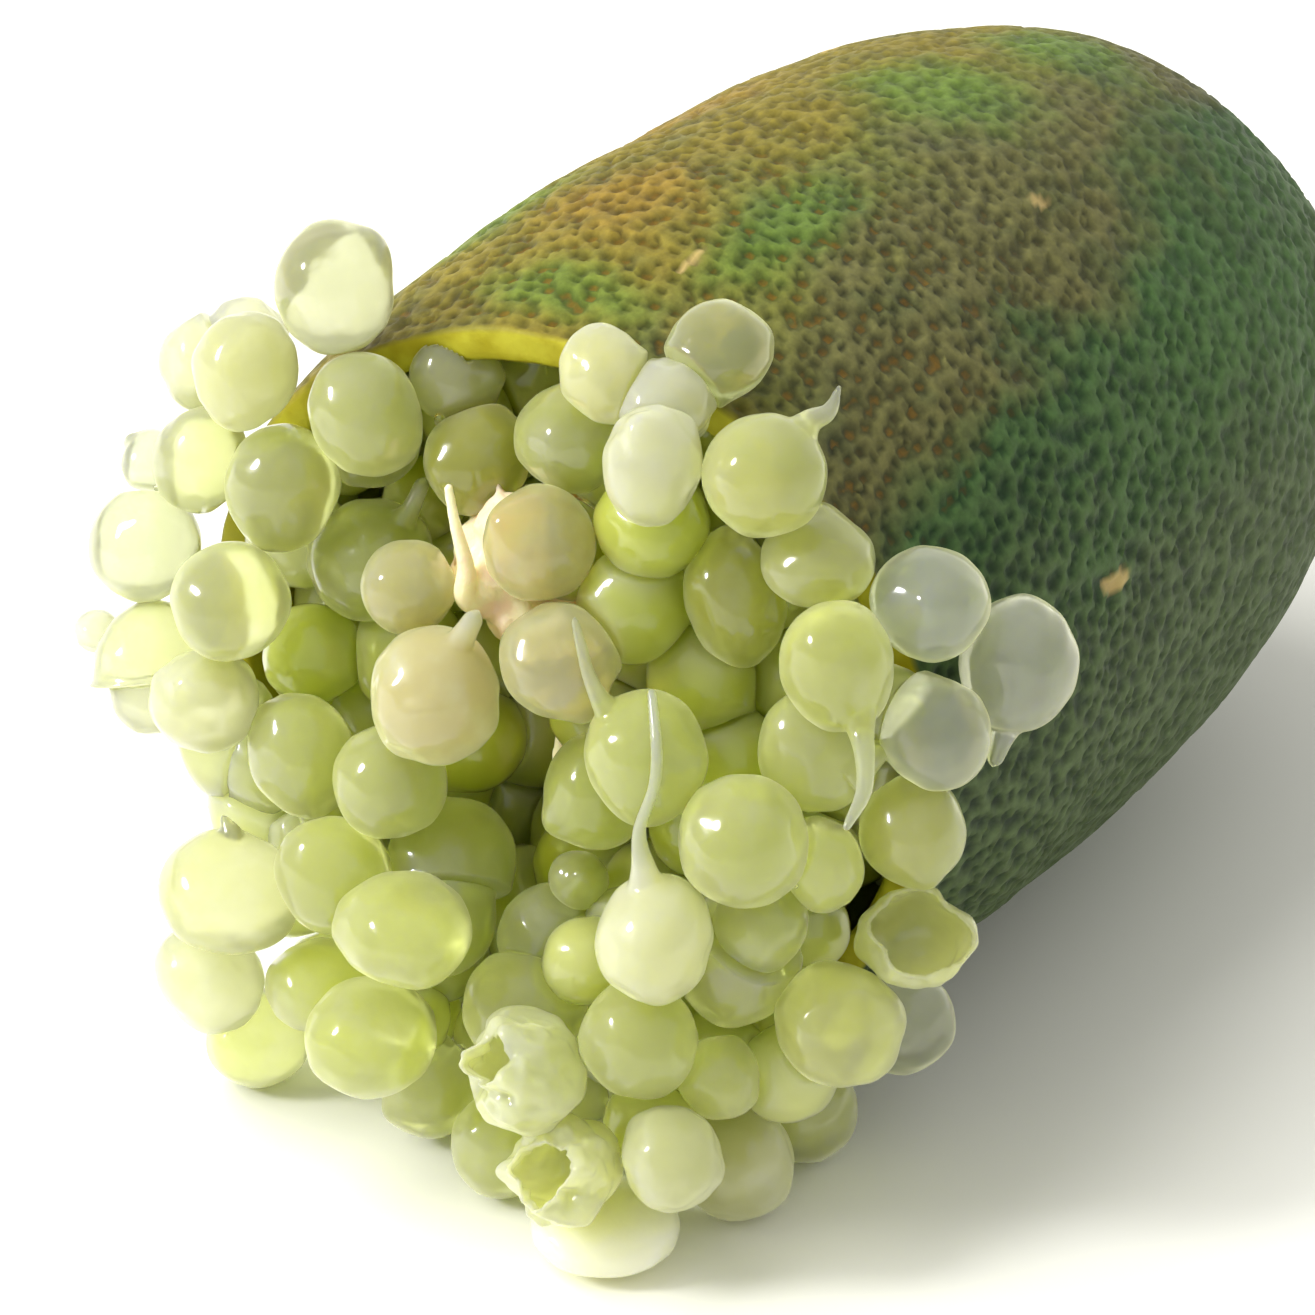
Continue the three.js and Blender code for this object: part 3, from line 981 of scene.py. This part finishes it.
looseSacs = cadSacs()
fillSacs = extraSacs()
packed = packedSacs(looseSacs + fillSacs)
everySac = looseSacs + fillSacs + packed
print("sacs:", len(looseSacs), "loose,", len(fillSacs), "small,", len(packed), "packed")

# Stalks that stayed on a sac, as points from its middle and a radius: [out, right, up, radius]
tails = {
    "right_vesicle_7": [[0, -0.2, 1.0, 0.9], [-0.1, -0.5, 2.1, 0.42], [-0.3, -0.8, 3.3, 0.21],
                        [-0.6, -0.5, 4.7, 0.19], [-0.9, -0.6, 5.8, 0.19], [-1.8, -1.4, 7.1, 0.15]],
    "middle_vesicle_7": [[0.3, -0.5, 0.9, 0.8], [0.5, -1.2, 1.7, 0.36], [0.5, -1.7, 2.5, 0.22],
                         [0.4, -2.0, 3.2, 0.19], [0.2, -2.4, 4.0, 0.13]],
    "top_vesicle_9": [[-0.7, 0.5, 0.9, 0.8], [-1.1, 0.8, 1.5, 0.4], [-1.5, 1.2, 1.8, 0.26],
                      [-1.9, 1.3, 2.5, 0.08]],
    "right_vesicle_4": [[0.3, 0.8, -0.7, 0.8], [0.7, 1.3, -1.4, 0.42], [1.4, 1.9, -1.9, 0.3],
                        [2.1, 2.3, -2.5, 0.25], [3.0, 2.3, -3.2, 0.14]],
    "right_vesicle_5": [[0.3, 1.2, -0.2, 0.8], [-0.2, 1.7, 0.2, 0.5], [-1.0, 2.2, 0.6, 0.14]],
    "clear_vesicle_3": [[0.4, 0.2, -1.0, 0.8], [0.9, 0.1, -2.0, 0.4], [1.2, 0, -2.8, 0.25]],
    "left_vesicle_8": [[0, 0.6, 0.9, 0.8], [-0.4, 1.2, 1.8, 0.35], [-0.9, 1.4, 2.7, 0.24]],
    "heap_vesicle_1": [[-0.2, 0.3, 1.0, 0.7], [-0.4, -0.1, 1.8, 0.4], [-0.5, -0.5, 2.3, 0.14]],
    "middle_vesicle_4": [[0, 0.3, 1.0, 0.8], [-0.3, 0.7, 1.9, 0.45], [-0.8, 0.9, 2.6, 0.3]],
}
tailFinish = {"steps": 9, "around": 12, "voxel": 0.085, "settle": 5, "whiteTint": linear(232, 238, 176)}
# Broken sacs: the way each opens [out, right, up], half the angle of its mouth and how wavy its wall is
tears = {
    "torn_vesicle_1": {"towards": (0.75, -0.35, 0.55), "mouth": 25, "waves": 0.42},
    "torn_vesicle_2": {"towards": (0.85, 0.0, 0.5), "mouth": 30, "waves": 0.42},
    "torn_vesicle_3": {"towards": (0.5, 0.35, 0.75), "mouth": 58, "waves": 0.14},
}
tornFinish = {"wall": 0.17, "voxel": 0.065, "settle": 3}


def smoothed(points, count):
    # a Catmull-Rom line through the points
    rows = np.array(points, float)
    padded = np.vstack([2 * rows[0] - rows[1], rows, 2 * rows[-1] - rows[-2]])
    line = []
    for index in range(len(rows) - 1):
        before, start, end, after = padded[index:index + 4]
        for share in np.linspace(0, 1, count, endpoint=False):
            line.append(0.5 * (2 * start + (end - before) * share
                               + (2 * before - 5 * start + 4 * end - after) * share ** 2
                               + (3 * start - before - 3 * end + after) * share ** 3))
    line.append(rows[-1])
    return np.array(line)


def tube(rows, around, steps):
    # a closed tube along rows of [x, y, z, radius], with a rounded end
    line = smoothed(rows, steps)
    ahead = np.gradient(line[:, :3], axis=0)
    ahead /= np.linalg.norm(ahead, axis=1, keepdims=True)
    side = np.cross(ahead[0], [0.3, 0.9, 0.1])
    turn = np.linspace(0, 2 * math.pi, around, endpoint=False)
    points = []
    for spot, direction in zip(line, ahead):
        side = side - direction * side.dot(direction)
        side /= np.linalg.norm(side)
        other = np.cross(direction, side)
        points.append(spot[:3] + spot[3] * (np.cos(turn)[:, None] * side + np.sin(turn)[:, None] * other))
    count = len(line)
    points = np.concatenate(points + [line[:1, :3], line[-1:, :3] + ahead[-1:] * line[-1, 3]])
    faces = ringFaces(count, around)
    for step in range(around):
        after = (step + 1) % around
        faces.append((after, step, count * around))
        faces.append(((count - 1) * around + step, (count - 1) * around + after, count * around + 1))
    return points, faces


def joined(parts):
    # several (points, faces) as one
    points, faces, start = [], [], 0
    for partPoints, partFaces in parts:
        points.append(np.asarray(partPoints))
        faces += [tuple(int(index) + start for index in face) for face in partFaces]
        start += len(partPoints)
    return np.concatenate(points), faces


def remeshed(piece, voxel, settle):
    # one skin around everything in the piece, then smoothed
    material = piece.data.materials[0]
    shell = piece.modifiers.new("oneSkin", "REMESH")
    shell.mode = "VOXEL"
    shell.voxel_size = voxel * mm
    shell.use_smooth_shade = True
    relax = piece.modifiers.new("relax", "SMOOTH")
    relax.factor = 0.5
    relax.iterations = settle
    bpy.context.view_layer.update()
    ready = piece.evaluated_get(bpy.context.evaluated_depsgraph_get())
    mesh = bpy.data.meshes.new_from_object(ready)
    old = piece.data
    piece.modifiers.clear()
    piece.data = mesh
    bpy.data.meshes.remove(old)
    mesh.name = piece.name
    mesh.shade_smooth()
    if not mesh.materials:
        mesh.materials.append(material)


def meshPoints(piece):
    points = np.zeros(len(piece.data.vertices) * 3)
    piece.data.vertices.foreach_get("co", points)
    return points.reshape(-1, 3)


def makeTailed(sac, points, tint):
    rows = np.array(tails[sac["name"]])
    rows[:, :3] += sac["centre"]
    stalk, stalkFaces = tube(rows, tailFinish["around"], tailFinish["steps"])
    both, faces = joined([(points, ballFaces), (stalk, stalkFaces)])
    piece = makeObject(sac["name"] + "_skin", toMetres(both), faces, materials[sac["look"]])
    remeshed(piece, tailFinish["voxel"], tailFinish["settle"])
    reach = np.linalg.norm((fromMetres(meshPoints(piece)) - sac["centre"]) / sac["half"], axis=1)
    white = smooth(1.05, 1.5, reach)[:, None]
    addColours(piece, "tint", blend(tint, tailFinish["whiteTint"], white))
    return piece


def makeTorn(sac, points, tint, seed):
    # the ball without its mouth, given a thin wall and one skin
    tear = tears[sac["name"]]
    towards = np.array(Vector(tear["towards"]).normalized())
    lean = np.degrees(np.arccos(np.clip(ballDirections @ towards, -1, 1)))
    edge = tear["mouth"] + 12 * noiseField(ballDirections, 1.1, seed)
    keep = lean > edge
    loosened = smooth(60, 0, lean - edge)
    waves = noiseField(ballDirections, 1.6, seed + 3) + 0.35 * noiseField(ballDirections, 4, seed + 4)
    waves = tear["waves"] * waves
    away = points - sac["centre"]
    points = sac["centre"] + away * (1 + waves * (0.35 + 0.9 * loosened) + 0.06 * loosened)[:, None]
    points[:, 2] = np.maximum(points[:, 2], tableLevel + 0.02)
    inner = points - away / np.linalg.norm(away, axis=1, keepdims=True) * tornFinish["wall"]
    kept = [tuple(face) for face in ballFaces if keep[face].all()]
    total = len(points)
    edges = {}
    for face in kept:
        for first, second in zip(face, face[1:] + face[:1]):
            edges[(first, second)] = edges.get((first, second), 0) + 1
    faces = list(kept)
    faces += [tuple(index + total for index in reversed(face)) for face in kept]
    for first, second in edges:
        if (second, first) not in edges:
            faces.append((second, first, first + total, second + total))
    used = sorted({index for face in faces for index in face})
    number = {old: new for new, old in enumerate(used)}
    every = np.concatenate([points, inner])[used]
    faces = [tuple(number[index] for index in face) for face in faces]
    piece = makeObject(sac["name"] + "_skin", toMetres(every), faces, materials["torn"])
    remeshed(piece, tornFinish["voxel"], tornFinish["settle"])
    addColours(piece, "tint", np.tile(tint, (len(piece.data.vertices), 1)))
    return piece


sacChance = np.random.default_rng(3)
ballDirections, ballFaces = roundBall(sacShape["level"])
for index, sac in enumerate(looseSacs + fillSacs):
    points = sacPoints(sac, ballDirections, index)
    tint = sacTint(sac, sacChance)
    if sac["name"] in tails:
        piece = makeTailed(sac, points, tint)
    elif sac["name"] in tears:
        piece = makeTorn(sac, points, tint, index)
    else:
        piece = makeObject(sac["name"] + "_skin", toMetres(points), ballFaces, materials[sac["look"]])
        addColours(piece, "tint", sacColours(sac, tint))
    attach(piece, "root")
    if sac["node"]:
        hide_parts(sac["node"])
print("loose sacs made")


def makePacked():
    directions, faces = roundBall(sacShape["packedLevel"])
    parts, colours = [], []
    for index, sac in enumerate(packed):
        parts.append((sacPoints(sac, directions, index + 200), faces))
        colours.append(sacColours(sac, sacTint(sac, sacChance)))
    points, allFaces = joined(parts)
    piece = makeObject("packedPulp", toMetres(points), allFaces, materials["deep"])
    addColours(piece, "tint", np.concatenate(colours))
    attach(piece, "root")
    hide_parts("pulp")
    print("packed sacs made:", len(piece.data.polygons), "faces")


makePacked()


# Beads of juice that hang in the grooves between two touching sacs.

beads = {
    "share": 0.3,  # of the touching pairs that hold one
    "smallest": 0.1,
    "largest": 0.22,
    "off": 0.2,  # how far out of the contact it sits
    "nearest": 0.8,  # distance between the middles of two sacs
    "furthest": 4.5,
    "leastShared": 0.05,  # overlap of two sacs that counts as a touch
    "leastFlat": 0.35,
    "tint": linear(250, 252, 232),
}


def touchingPairs(sacs, others):
    pairs = []
    for index, first in enumerate(sacs):
        for second in sacs[index + 1:] + others:
            if first["look"] == "torn" or second["look"] == "torn":
                continue
            normal, away, mine, shared, reach = meeting(first, second)
            if not beads["nearest"] <= away <= beads["furthest"] or shared < beads["leastShared"]:
                continue
            side = np.cross(normal, [0.2, 0.5, 0.8])
            side /= np.linalg.norm(side)
            wide = np.linalg.norm(first["half"] * side)
            flat = wide * math.sqrt(max(1 - (reach / mine) ** 2, 0))
            if flat < beads["leastFlat"]:
                continue
            middle = first["centre"] + normal * reach
            pairs.append({"middle": middle, "normal": normal, "side": side, "flat": flat})
    return pairs


def makeBeads():
    chance = np.random.default_rng(8)
    directions, faces = roundBall(3)
    balls = []
    for pair in touchingPairs(looseSacs + fillSacs, packed):
        turn = chance.uniform(0, 2 * math.pi)
        size = chance.uniform(beads["smallest"], beads["largest"])
        stretch = chance.uniform(0.75, 1.3, 3)
        if chance.random() > beads["share"]:
            continue
        other = np.cross(pair["normal"], pair["side"])
        outward = math.cos(turn) * pair["side"] + math.sin(turn) * other
        if outward[0] + outward[2] < 0:
            outward = -outward
        middle = pair["middle"] + outward * (pair["flat"] + beads["off"])
        balls.append((middle + directions * size * stretch, faces))
    points, allFaces = joined(balls)
    piece = makeObject("juiceBeads", toMetres(points), allFaces, materials["bead"])
    addColours(piece, "tint", np.tile(beads["tint"], (len(points), 1)))
    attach(piece, "root")
    return len(balls)


print("beads made:", makeBeads())


# Core.

coreShape = {
    "lumps": [[1.9, -0.6, 5.5, 1.7], [0.8, -0.3, 4.4, 1.8], [2.3, -0.3, 6.7, 1.1], [2.7, -1.0, 5.2, 1.0],
              [2.6, 0.2, 4.3, 1.0], [-2.5, -0.6, 4.8, 1.8], [-6, -0.7, 4.6, 1.9], [3.1, -0.3, 5.7, 0.8]],
    "roughness": 0.16,
    "voxel": 0.11,
    "fibres": 26,
    "fibreRadius": 0.11,
    "head": [1.9, -0.5, 5.3],
    "wall": [[2.2, 1.2, 2.6], [1.9, 1.1, 1.2], [1.7, 0.9, -0.6], [1.5, 0.7, -2.4], [1.2, 0.6, -4.2],
             [1.0, 0.5, -6.2]],
    "wallDepth": 9,
    "wallHalf": 0.2,
}
coreStalk = [[3.0, -0.4, 4.6, 0.6], [4.0, -0.7, 5.2, 0.42], [4.2, -0.6, 6.4, 0.28], [4.3, -0.9, 7.8, 0.19],
             [4.2, -1.2, 8.9, 0.15]]


def segmentWall():
    # the thin rippled wall between two segments, as a closed slab that runs back into the pulp
    shape = coreShape
    wall = smoothed(shape["wall"], 6)
    depths = np.linspace(0, shape["wallDepth"], 16)
    front = np.array([[row - [depth, 0, 0] for depth in depths] for row in wall])
    ripple = 0.18 * noiseField(front.reshape(-1, 3), 0.8, 33).reshape(front.shape[:2])
    thickness = noiseField(front.reshape(-1, 3), 0.9, 34).reshape(front.shape[:2])
    half = shape["wallHalf"] * (1.1 + 0.6 * thickness)
    leftSide, rightSide = front.copy(), front.copy()
    leftSide[..., 1] += ripple - half
    rightSide[..., 1] += ripple + half
    rows, columns = front.shape[:2]
    points = np.concatenate([leftSide.reshape(-1, 3), rightSide.reshape(-1, 3)])
    total = rows * columns
    faces = []
    for row in range(rows - 1):
        for column in range(columns - 1):
            corner = row * columns + column
            square = (corner, corner + 1, corner + columns + 1, corner + columns)
            faces.append(square)
            faces.append(tuple(index + total for index in reversed(square)))
    border = list(range(columns))
    border += [row * columns + columns - 1 for row in range(1, rows)]
    border += [(rows - 1) * columns + column for column in range(columns - 2, -1, -1)]
    border += [row * columns for row in range(rows - 2, 0, -1)]
    for first, second in zip(border, border[1:] + border[:1]):
        faces.append((second, first, first + total, second + total))
    return points, faces


def makeCore():
    shape = coreShape
    chance = np.random.default_rng(14)
    directions, faces = roundBall(4)
    parts = []
    for index, (out, right, up, size) in enumerate(shape["lumps"]):
        waves = noiseField(directions, 1.6, index + 70) * 1.4 + noiseField(directions, 4, index) * 0.5
        rough = 1 + shape["roughness"] * waves
        parts.append((np.array([out, right, up]) + directions * (size * rough)[:, None], faces))
    for index in range(shape["fibres"]):
        start = np.array(shape["head"]) + chance.normal(0, 1, 3) * [0.4, 0.6, 0.9]
        lean = np.array([chance.uniform(0.1, 0.6), chance.normal(0, 0.4), chance.normal(0, 0.6)])
        middle = start + lean * 0.9 + chance.normal(0, 0.12, 3)
        end = start + lean * 1.7 + [-0.5, 0, 0]
        size = shape["fibreRadius"] * chance.uniform(0.8, 1.5)
        parts.append(tube([[*start, size], [*middle, size], [*end, size * 0.6]], 8, 5))
    parts.append(tube(coreStalk, 12, 8))
    parts.append(segmentWall())
    everyPoint, everyFace = joined(parts)
    piece = makeObject("coreFibres", toMetres(everyPoint), everyFace, materials["core"])
    remeshed(piece, shape["voxel"], 3)
    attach(piece, "root")
    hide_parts("core")
    print("core made:", len(piece.data.polygons), "faces")


makeCore()


# Table, light and camera.

studio = {
    "tableColour": linear(240, 239, 231),
    "tableSize": 3.0,
    "skyColour": (1.0, 1.0, 0.98, 1),
    "skyStrength": 0.78,
    "keyFrom": (0.63, -0.587, 0.496),
    "keyAway": 0.4,
    "keySize": 0.09,
    "keyPower": 1.1,
    "fillFrom": (0.25, -0.45, 0.86),
    "fillAway": 0.9,
    "fillSize": 0.9,
    "fillPower": 8.0,
}


def makeTable():
    look = studio
    material, tree, surface = newMaterial("paleTable")
    where = addNode(tree, "ShaderNodeTexCoord").outputs["Object"]
    faint = useGroup(tree, mottle, Vector=where, Scale=12.0, Detail=4.0, Low=0.3, High=0.7)
    darker = tuple(value * 0.97 for value in look["tableColour"][:3]) + (1,)
    tree.links.new(mixColours(tree, faint, look["tableColour"], darker), surface.inputs["Base Color"])
    setSurface(surface, Roughness=0.6)
    side = look["tableSize"] / 2
    low = -0.0001
    corners = [(-side, -side, low), (side, -side, low), (side, side, low), (-side, side, low)]
    table = makeObject("paleTable", corners, [(0, 1, 2, 3)], material, flat=True)


def makeLights():
    look = studio
    world = bpy.data.worlds.new("softRoom")
    bpy.context.scene.world = world
    world.use_nodes = True
    sky = world.node_tree.nodes["Background"]
    sky.inputs["Color"].default_value = look["skyColour"]
    sky.inputs["Strength"].default_value = look["skyStrength"]
    for name in ("key", "fill"):
        direction = Vector(look[name + "From"]).normalized()
        lamp = bpy.data.lights.new(name + "Lamp", "AREA")
        lamp.shape = "DISK"
        lamp.size = look[name + "Size"]
        lamp.energy = look[name + "Power"]
        holder = bpy.data.objects.new(name + "Lamp", lamp)
        bpy.context.scene.collection.objects.link(holder)
        holder.location = cutCentre + direction * look[name + "Away"]
        # only the key lamp leaves a highlight
        holder.visible_glossy = name == "key"
        holder.visible_transmission = name == "key"
        holder.rotation_euler = direction.to_track_quat("Z", "Y").to_euler()


camera = {
    "heading": 34.46,  # degrees from straight in front of the cut towards its right
    "height": 30,  # degrees above the table
    "distance": 180,
    "aimRight": 2.855,
    "aimUp": 1.219,
    "lens": 159.66,
    "sensor": 36,
}


def makeCamera():
    look = camera
    heading = math.radians(look["heading"])
    height = math.radians(look["height"])
    level = math.cos(height)
    back = Vector((math.cos(heading) * level, math.sin(heading) * level, math.sin(height)))
    side = Vector((-math.sin(heading), math.cos(heading), 0))
    rise = back.cross(side)
    data = bpy.data.cameras.new("viewCamera")
    data.lens = look["lens"]
    data.sensor_width = look["sensor"]
    data.clip_start = 0.01
    data.clip_end = 20
    holder = bpy.data.objects.new("viewCamera", data)
    bpy.context.scene.collection.objects.link(holder)
    aim = side * look["aimRight"] + rise * look["aimUp"]
    holder.location = cutCentre + (aim + back * look["distance"]) * mm
    holder.rotation_euler = back.to_track_quat("Z", "Y").to_euler()
    bpy.context.scene.camera = holder


makeTable()
makeLights()
makeCamera()
bpy.context.scene.view_settings.view_transform = "Standard"
bpy.context.scene.cycles.max_bounces = 20
bpy.context.scene.cycles.diffuse_bounces = 9
bpy.context.scene.cycles.transmission_bounces = 16
print("studio made")
